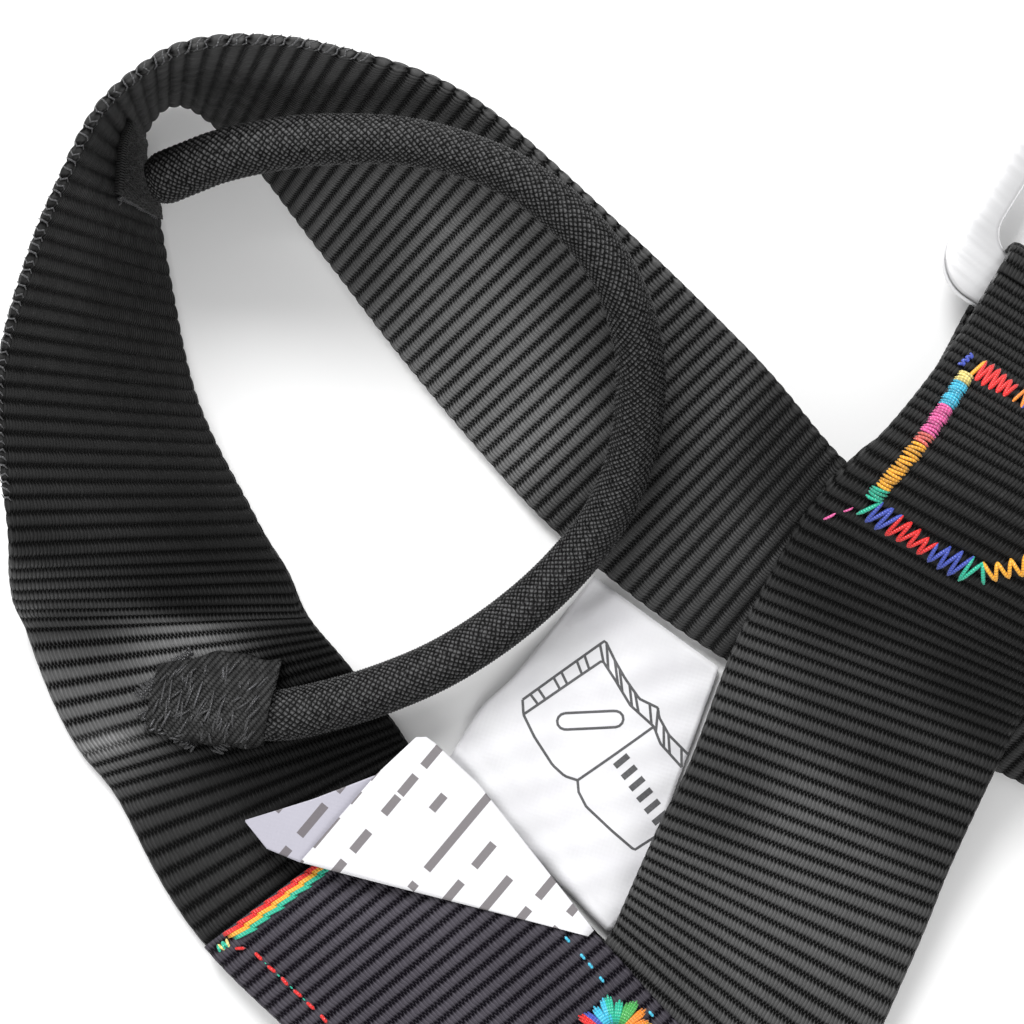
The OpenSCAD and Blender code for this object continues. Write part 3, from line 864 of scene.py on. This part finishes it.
def attachment_rows():
    x = ATTACHMENT_W / 2
    side = smooth(ATTACHMENT_SIDE, 4)
    return [[x, ATTACHMENT_Y + y, z, -x, ATTACHMENT_Y + y, z] for y, z in side]


# ---- the object ----

def keep(obj, body, material_slot, *nodes):
    """Rides a body and stands for CAD nodes, which it hides; its material slot is not used."""
    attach(obj, body)
    if nodes:
        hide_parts(*nodes)


add_camera()
BRAID = braid_material()


def build_gear_loop(side, mirror):
    name = f"{side}_gear_loop"
    cord = add_braided(f"{name}_cord", GEAR_SEWN, mirror, flatten=0.4, girth=GEAR_GIRTH)
    keep(cord, name, "braided_cord", name)
    path = metres(smooth(GEAR_SEWN, 6), mirror)
    length = distances(smooth(GEAR_SEWN, 12))[-1]
    tuple(path[0])


for side, mirror in SIDES:
    build_gear_loop(side, mirror)

add_studio()
WEBBING = webbing_material("webbing", 3 * (0.002,), 3 * (0.1,))
FRONT = webbing_material("front_webbing", (0.003, 0.0016, 0.005), (0.095, 0.088, 0.104))
PATCH = webbing_material("patch_tape", 3 * (0.02,), 3 * (0.09,), rib=0.9, yarn=0.55)
ELASTIC = webbing_material("elastic", 3 * (0.004,), 3 * (0.1,), rib=ELASTIC_RIB)
THREAD = thread_material()
TAPE = label_material("label_tape", False)
PRINTED = label_material("printed_tape", True)
INK = ink_material()
STEEL = steel_material()

# Painted highlights and painted shade: how bright the webbing is painted at (along, across) places,
# standing in for the uneven sheen and shade that the lighting throws on it
BELT_PAINTED_LIGHT = [
    (105, 36, 0.52), (112, 12, 0.3), (114, 24, 0.34), (127, 6, 0.3), (134, 42, 1.05),
    (138, 22, 1.25), (150, 42, 0.68), (150, 18, 0.38), (162, 38, 0.46), (162, 10, 0.26),
    (176, 24, 0.38), (188, 14, 0.3), (200, 42, 0.46), (205, 12, 0.27), (228, 24, 0.4),
    (242, 14, 0.5), (252, 40, 0.74), (256, 18, 0.5), (272, 12, 1.0), (280, 41, 0.8),
    (295, 18, 1.25), (300, 42, 0.88), (312, 8, 1.25), (330, 36, 0.78), (340, 10, 0.76),
    (350, 42, 0.42), (360, 14, 0.72), (440, 22, 0.7)]
RISER_PAINTED_LIGHT = [
    (47, 12, 0.82), (62, 22, 0.92), (62, 5, 0.85), (80, 22, 0.95), (80, 5, 0.68), (98, 4, 0.8),
    (96, 32, 0.6), (106, 16, 0.62), (116, 38, 0.38), (122, 14, 0.45), (136, 22, 0.42),
    (160, 14, 0.45), (180, 22, 0.5)]
# A worn fold on the belt: its place and its reach, each (along, across)
BELT_WEAR = ((126.3, 41), (1.5, 4.5))
FRONT_PAINTED_LIGHT = [(3, 38, 0.8), (10, 20, 0.85), (30, 24, 0.85), (38, 8, 0.78), (80, 22, 0.7)]

belt = Strap([leaning(q) for q in belt_rows()])
keep(add_webbing("belt_webbing", belt, WEBBING, wear=BELT_WEAR, gloss=BELT_PAINTED_LIGHT),
     "waist_belt", "webbing", "waist_webbing")

front = Strap(front_rows())
riser = Strap(riser_rows())
for side, mirror in SIDES:
    keep(add_webbing(f"{side}_front_layer", front, FRONT, mirror, gloss=FRONT_PAINTED_LIGHT),
         "waist_belt", "webbing", f"{side}_front_reinforcement")
    piece = add_webbing(f"{side}_riser_webbing", riser, WEBBING, mirror, gloss=RISER_PAINTED_LIGHT)
    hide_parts(f"{side}_riser", f"{side}_riser_root")
    hinge = metres([(0, RISER_HINGE_Y - 3.5, 3.5), (0, RISER_HINGE_Y + 5.5, 3.5)], 1)
    tuple(hinge[0])
    tuple(hinge[1])
    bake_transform(piece)

leg = Strap(leg_rows())
for side, mirror in SIDES:
    keep(add_webbing(f"{side}_leg_strap", leg, WEBBING, mirror), f"{side}_leg_loop", "webbing",
         f"{side}_leg_webbing")

half_bridge = smooth(BRIDGE_ROUTE, 2)
bridge_route = np.concatenate([half_bridge, half_bridge[:-1][::-1] * [-1, 1, 1]])
keep(add_braided("crotch_bridge_cord", bridge_route, rx=3, rz=2.2, cells=12),
     "leg_yoke", "webbing", "crotch_bridge")

attachment = Strap(attachment_rows())
keep(add_webbing("attachment_loop_webbing", attachment, WEBBING, width=ATTACHMENT_W,
                 thickness=ATTACHMENT_T, columns=9, loop=True),
     "attachment_loop", "webbing", "attachment_loop")

# Buckles: frame plates on the folds of the risers and belt, tongue plates on the other ends.
# Each has its outline and its window: width, near and far edge from the bar, corner radius.
FRAME = (66, -4.75, 47.25, 7.5), (54, 4.75, 38.25, 4.5)
TONGUE = (60, -3, 31, 6), (48, 3, 12, 3)
PLATE_T = 3
FRAME_TILT = math.radians(7)
TONGUE_TILT = math.radians(11)
# A frame lies this far along its bar from the middle of its fold
FRAME_SHIFT = 1.6
BELT_MID_Y = -69


def build_frame(name, centre, turn, mirror=1):
    place = at_bar(np.array(centre) + FRAME_SHIFT * heading(turn), turn, FRAME_TILT)
    keep(add_plate(f"{name}_plate", *FRAME, place, mirror), name, "buckle_steel", name)


def build_tongue(name, centre, turn, mirror=1):
    place = at_bar(centre, turn, TONGUE_TILT)
    keep(add_plate(f"{name}_plate", *TONGUE, place, mirror), name, "buckle_steel", name)


def build_keeper(side, mirror):
    half = WEBBING_W / 2 + 0.8
    top = 2 * WEBBING_T + LAYER_GAP + 1.1
    edge = [(-half, 0.5), (-half, 2.5), (-half + 0.1, top - 1.6), (-half + 0.6, top - 0.5),
            (-half + 1.8, top)]
    section = edge + [(0, top)] + [(-x, z) for x, z in reversed(edge)]
    place = at_bar(TONGUE_BAR, TONGUE_TURN, 0)
    near, far = 26, 36
    rows = [[*place((x, near, z - BAR_Z)), *place((x, far, z - BAR_Z))] for x, z in section]
    band = Strap(rows, step=0.28, thickness=1)
    keep(add_webbing(f"{side}_keeper_band", band, ELASTIC, mirror, width=far - near, thickness=1,
                     rib=ELASTIC_RIB, depth=0.12, columns=7),
         f"{side}_leg_keeper", "keeper_elastic", f"{side}_leg_keeper")


for side, mirror in SIDES:
    build_frame(f"{side}_leg_frame", LEG_BAR, LEG_TURN, mirror)
    build_tongue(f"{side}_leg_tongue", TONGUE_BAR, TONGUE_TURN + math.pi, mirror)
    build_keeper(side, mirror)
build_frame("waist_frame", (BELT_FRONT_X, BELT_MID_Y), -math.pi / 2)
build_tongue("waist_tongue", (-BELT_FRONT_X, BELT_MID_Y), math.pi / 2)


# Coloured thread
def srgb(r, g, b):
    return tuple((c / 255) ** GAMMA for c in (r, g, b))


RED = srgb(228, 26, 24)
BLUE = srgb(58, 78, 178)
CYAN = srgb(60, 190, 225)
TEAL = srgb(28, 185, 150)
GREEN = srgb(70, 170, 80)
PINK = srgb(232, 92, 160)
CORAL = srgb(240, 110, 100)
CREAM = srgb(240, 220, 130)
AMBER = srgb(250, 175, 40)
ORANGE = srgb(245, 140, 35)
BLACK = srgb(46, 46, 48)
EDGE_GREY = srgb(74, 74, 77)
# Painted highlight: grey for the selvage loops, lighter than the webbing, standing in for glints on
# its edge
SELVAGE_PAINTED_GLINT = srgb(60, 60, 62)
RAINBOW = [TEAL, BLUE, RED, BLUE, TEAL, AMBER, PINK, CYAN]


# The edge row's stitches next to the bar-tack, (along, across) on the front layer
CYAN_ROW = ((34, 3.7), (37.6, 3.9), (39.5, 4), (42.3, 4.2), (51.7, 2))
# The bar-tack's strokes fan out to both sides of the first direction, (along, across)
FAN_UP, FAN_SIDE = (-0.75, -0.64), (0.64, -0.75)


def sew_front(side, mirror):
    thread = Thread()
    seam = ((0.6, RED), (1.3, AMBER), (2.0, TEAL))
    for i, across in enumerate(np.arange(41.5, 4, -2.7)):
        for n, (along, colour) in enumerate(seam):
            lean = 0.32 + 0.1 * math.sin(i * 3.1 + n)
            for filament in (-0.16, 0.0, 0.16):
                thread.arch(front, (along + filament - lean, across - n * 0.5),
                            (along + filament + lean, across - 4.3 - n * 0.5),
                            tuple(c * (0.85 + 0.8 * abs(filament)) for c in colour), 0.22, 0.7)
    thread.zigzag(front, [(1.4, 43.4), (1.6, 41.2)], 1.1, 0.8, [TEAL, CREAM], 0.6, 0.25)
    thread.zigzag(front, [(2.6, 41), (4.6, 40.2)], 0.8, 2.6, [RED], 5, 0.26)
    thread.row(front, 39.5, 5, 76, 1.7, 2.8, [RED, TEAL])
    for along, across in CYAN_ROW:
        thread.arch(front, (along, across), (along + 1.2, across + 0.1), CYAN, 0.25, 0.35)
    thread.row(front, 4.2, 62, 76, 1.5, 3.6, [CYAN])
    satin = [RED, RED, BLUE, CYAN, CYAN, TEAL, TEAL, GREEN, GREEN, ORANGE, ORANGE, AMBER]
    for centre in ((51, 8.4), (51, 31)):
        for i, colour in enumerate(satin):
            turn = math.radians(-80 + 160 * i / (len(satin) - 1) + 4 * math.sin(i * 2.1))
            out = np.array(FAN_UP) * math.cos(turn) + np.array(FAN_SIDE) * math.sin(turn)
            edge = quarter_turned(out)
            reach = 6.2 + 0.5 * math.sin(i * 1.7)
            for filament in (-0.45, 0.0, 0.45):
                first = centre + out * 1.6 + edge * filament * 0.4
                last = centre + out * (reach - abs(filament)) + edge * filament
                thread.arch(front, first, last, colour, 0.3, 0.7)
    thread.zigzag(front, [(60, 9), (74, 9), (74, 36), (60, 36)], 2.6, 2.0, RAINBOW, 7.5)
    thread.build(f"{side}_front_stitching", "waist_belt", mirror)


def sew_riser(side, mirror):
    thread = Thread()
    column = [CREAM, *3 * [CYAN], *3 * [PINK], CORAL, *4 * [AMBER], TEAL]
    thread.satin(riser, [(164.6, 4.6), (138.4, 6.2)], 2.7, 0.58, column, 2.02, 0.27)
    rainbow = [TEAL, *2 * [BLUE], *4 * [RED], *3 * [BLUE], *2 * [TEAL], *3 * [AMBER],
               *2 * [PINK], *2 * [CYAN]]
    thread.zigzag(riser, [(136.8, 6.4), (135.1, 17.7), (135.1, 26.1), (139.8, 30.1),
                          (146, 35.5), (151, 39.5)], 4.4, 1.85, rainbow, 1.85, 0.33)
    thread.satin(riser, [(152, 40), (165, 40)], 2.7, 0.58, column, 2.02, 0.27)
    thread.zigzag(riser, [(167.0, 5.2), (166.6, 12)], 5.0, 1.2, [AMBER, *5 * [RED]], 1.2, 0.33)
    thread.zigzag(riser, [(166.6, 12.6), (166.8, 40)], 4.2, 1.7, [ORANGE, BLUE, BLUE, BLUE, TEAL,
                  TEAL, AMBER, PINK], 1.9, 0.28)
    thread.zigzag(riser, [(169, 3.6), (165.6, 3.0)], 0.8, 1.1, [BLUE], 9, 0.26)
    thread.arch(riser, (131.2, 2.6), (133.2, 3.6), PINK, 0.2, 0.3)
    thread.arch(riser, (134.0, 4.2), (135.4, 5.0), PINK, 0.16, 0.3)
    thread.build(f"{side}_riser_stitching", "leg_yoke", mirror)


def sew_leg(side, mirror):
    thread = Thread()
    end = leg.at[-1]
    for near, far in ((3, 10), (end - 22, end - 4)):
        thread.zigzag(leg, [(near, 5), (near, 40), (far, 40), (far, 5), (near, 5)], 2.6, 2.0,
                      RAINBOW, 6)
    thread.build(f"{side}_leg_stitching", f"{side}_leg_loop", mirror)


for side, mirror in SIDES:
    sew_front(side, mirror)
    sew_riser(side, mirror)
    sew_leg(side, mirror)


# Patches over the sewn ends of the gear loop cords
def add_pad(name, strap, corners, thickness, mirror):
    """Tape sewn on the strap's inner face between four (along, across) corners, edges pinched."""
    count = 36
    a, b, c, d = [np.array(corner, float) for corner in corners]
    points, weave = [], []
    for face in (0, 1):
        for u in np.linspace(0, 1, count):
            for v in np.linspace(0, 1, count):
                at = (a * (1 - v) + b * v) * (1 - u) + (d * (1 - v) + c * v) * u
                rim = min(u, 1 - u, v, 1 - v)
                ruck = 0.16 * math.sin(at[0] * 4.2 + 2 * math.sin(at[1])) * math.sin(at[1] * 3.1)
                high = thickness * min(1.0, 0.45 + rim * 9) + ruck * min(1, rim * 8)
                points.append(strap.point(*at, strap.half_t + (high if face else -0.3)))
                weave.append((u * 14, v * 16, 0))
    size = count * count
    top = grid_faces(count, count, closed=False)
    faces = [tuple(size + k for k in reversed(f)) for f in top] + top
    faces += [(here, size + here, size + after, after)
              for here, after in rim_steps(count, count)]
    return add_mesh(name, points, faces, PATCH, mirror, weave, gloss=[0.5] * len(points))


# Rows of close stitching beside the patches, each from and to (along, across)
HIP_SEAMS = ((214, 21), (226, 23)), ((214.5, 3), (215.5, 21)), ((226.5, 3), (225.5, 22))
FRONT_SEAMS = ((121, 29.5), (129.5, 33)), ((119.4, 27), (125.4, 15)), ((131.5, 32), (137, 20.5))


def build_patches(side, mirror):
    grid = sleeve_grid((-162.4, -47.2, WEBBING_T + 0.2), np.array([-0.8, -0.6, 0]), 19.5,
                       (10.5, 15, 14), (1.3, 10.2))
    keep(add_sleeve(f"{side}_front_cord_patch", grid, mirror), "waist_belt", "patch_webbing",
         f"{side}_gear_loop_front_patch")
    pad = add_pad(f"{side}_hip_cord_patch", belt,
                  [(214, 1.4), (228, 1.8), (227, 26), (215.5, 24)], 1.0, mirror)
    keep(pad, "waist_belt", "patch_webbing", f"{side}_gear_loop_hip_patch")
    thread = Thread()
    for line in HIP_SEAMS:
        thread.zigzag(belt, line, 1.6, 0.9, [BLACK], 90, 0.22)
    for line in FRONT_SEAMS:
        thread.zigzag(belt, line, 1.8, 0.9, [BLACK], 90, 0.24)
    add_fuzz(thread, grid, 70, BLACK, 5)
    add_fuzz(thread, grid, 10, EDGE_GREY, 8)
    thread.build(f"{side}_patch_stitching", "waist_belt", mirror)


for side, mirror in SIDES:
    build_patches(side, mirror)


SELVAGE_START, SELVAGE_END = 168, 262


def build_selvage():
    """Small loops of weft stand out of the belt's outer edge where it is bent hardest; their grey,
    lighter than the webbing, is a painted highlight for the glints along that edge.
    """
    thread = Thread()
    loops = np.arange(SELVAGE_START, SELVAGE_END, RIB / 2)
    for i, at in enumerate([*loops, *(belt.at[-1] - loops)]):
        lean = 0.35 * math.sin(i * 1.7)
        rise = 0.05 + 0.08 * math.sin(i * 4.1)
        places = ((-0.5, -0.55, 0.98), (0, -0.15, 0.8), (lean, rise, 0), (0.5, -0.2, -0.8))
        route = [belt.point(at + a, WEBBING_W + c, off) for a, c, off in places]
        thread.stitch(route, SELVAGE_PAINTED_GLINT, 0.15)
    thread.build("belt_selvage", "waist_belt", material_slot="webbing")


build_selvage()


# Labels
SPEC_Z = 7.05


def spec_lift(x, y, high):
    """The label bows a little; its cut end stands off the layer folded under it."""
    return SPEC_Z + high + 0.25 * math.sin((x + 140) * 0.16) + 0.1 * math.sin(y * 0.5)


FOLD_END = (-143.2, -63.4)
front_part = ([(*FOLD_END, 0.5), (-101.1, -43.3, 0)],
              [(-142.9, -45.4, 0.9), (-141.8, -36.3, 0.7), (-140.3, -35.4, 0.5),
               (-129.6, -36, 0), (-101, -42.0, 0)])
back_part = ([(-154, -63.9, 0.1), (-148, -54.6, 0.2), (-142.9, -45.4, -0.1),
              (-141.2, -44, -0.6)],
             [(-153.8, -64.1, 0.1), (-148.5, -65.2, 0), (-143.2, -63.5, -0.1),
              (-140.5, -62, -0.6)])
spec = add_tape("spec_label_tape", [front_part, back_part], spec_lift, PRINTED, rows=30,
                columns=30)
keep(spec, "spec_label", "label_tape", "spec_label")


def care_lift(x, y, high):
    """Small creases, and a rolled fold along the lower edge."""
    roll = math.exp(-((y + 35.7 + 0.164 * (x + 128.1)) / 1.1) ** 2)
    crease = math.exp(-((x + 137.3 - 0.19 * (y + 26.6)) / 1.6) ** 2)
    ridge = math.exp(-((x + 127 - 0.3 * (y + 20)) / 3.2) ** 2)
    wave = 0.3 * (1 + math.sin(x * 0.33 + y * 0.21)) + 0.12 * math.sin(x * 0.9 - y * 0.6)
    return 0.25 + high + 1.2 * roll + 0.5 * crease + 0.35 * ridge + wave


def add_ink(name, lines, lift, body, width=0.42, rise=0.33):
    """Printed strokes: thin ribbons a hair above a label's face."""
    points, faces = [], []
    for line in lines:
        path = even_line(line, max(3, int(distances(line)[-1] / 0.6)))
        side = unit(np.gradient(path, axis=0))[:, ::-1] * [-1, 1] * width / 2
        faces += [tuple(len(points) + k for k in f)
                  for f in grid_faces(len(path), 2, closed=False)]
        for edges in zip(path - side, path + side):
            points += [(x, y, lift(x, y, rise)) for x, y in edges]
    weave = [(x, y, 0) for x, y, z in points]
    keep(add_mesh(name, points, faces, INK, 1, weave), body, "label_tape")


care = add_tape("care_label_tape", [(
    [(-135.2, -38.4, 0), (-136.5, -30.3, 0), (-137, -25.9, 0), (-136.1, -20.2, 0),
     (-136.5, 0.6, 0)],
    [(-98.5, -41.2, 0), (-98, -36, 0), (-112, 2.2, 0)])], care_lift, TAPE)
keep(care, "waist_belt", "label_tape", "care_label")

# A plain drawing and bars stand in for the labels' pictogram, mark and lettering
BOOK_TOP = [(-132.6, -21.7), (-128.6, -6.1), (-125.5, -7.5), (-122.3, -8.7), (-118.5, -9.7),
            (-115.3, -8.9), (-114.3, -9.9), (-111.2, -11.1), (-106.9, -11.5)]
BOOK_INNER = [(-131, -23.4), (-126.9, -8.8), (-123.3, -9.9), (-119, -11.4), (-113.9, -11.6),
              (-111.4, -13), (-106.4, -13.7)]
BOOK_LEFT = [(-132.6, -21.7), (-131, -23.4), (-127.4, -25), (-122.3, -26.6), (-119.7, -26.7),
             (-117.7, -25.9)]
BOOK_SPINE = [(-117.7, -25.9), (-113.9, -11.6)]
BOOK_RIGHT = [(-117.7, -25.9), (-116.4, -27.2), (-114, -28.2), (-108.7, -28.5), (-103.7, -28.6),
              (-102.5, -24.8), (-101.5, -20)]


def ring_line(centre, radius):
    return [centre + radius * heading(a) for a in np.linspace(0, 2 * math.pi, 17)]


def capsule_line(a, b, radius):
    way = math.atan2(b[1] - a[1], b[0] - a[0])
    line = [centre + radius * heading(way + math.pi * t) for centre, start in ((a, 0.5), (b, -0.5))
            for t in np.linspace(start, start + 1, 9)]
    return line + line[:1]


top, inner = even_line(BOOK_TOP, 27), even_line(BOOK_INNER, 27)
hatching = [[tuple(top[i]), tuple(inner[min(i + 1, 26)])] for i in range(1, 26) if i % 3]
drawing = [BOOK_TOP, BOOK_INNER, BOOK_LEFT, BOOK_SPINE, BOOK_RIGHT, *hatching,
           capsule_line((-125.2, -20), (-119.4, -14.6), 1.3)]
add_ink("care_label_drawing", drawing, care_lift, "waist_belt")
bars = [[(-114.6 + 2.1 * i, -20.4 - 0.6 * i), (-114.1 + 2.1 * i, -17.7 - 0.6 * i)]
        for i in range(6)]
add_ink("care_label_bars", bars, care_lift, "waist_belt", width=1.0)
add_ink("spec_label_ring", [ring_line((-134.6, -46.4), 2.6)], spec_lift, "spec_label", width=0.9)
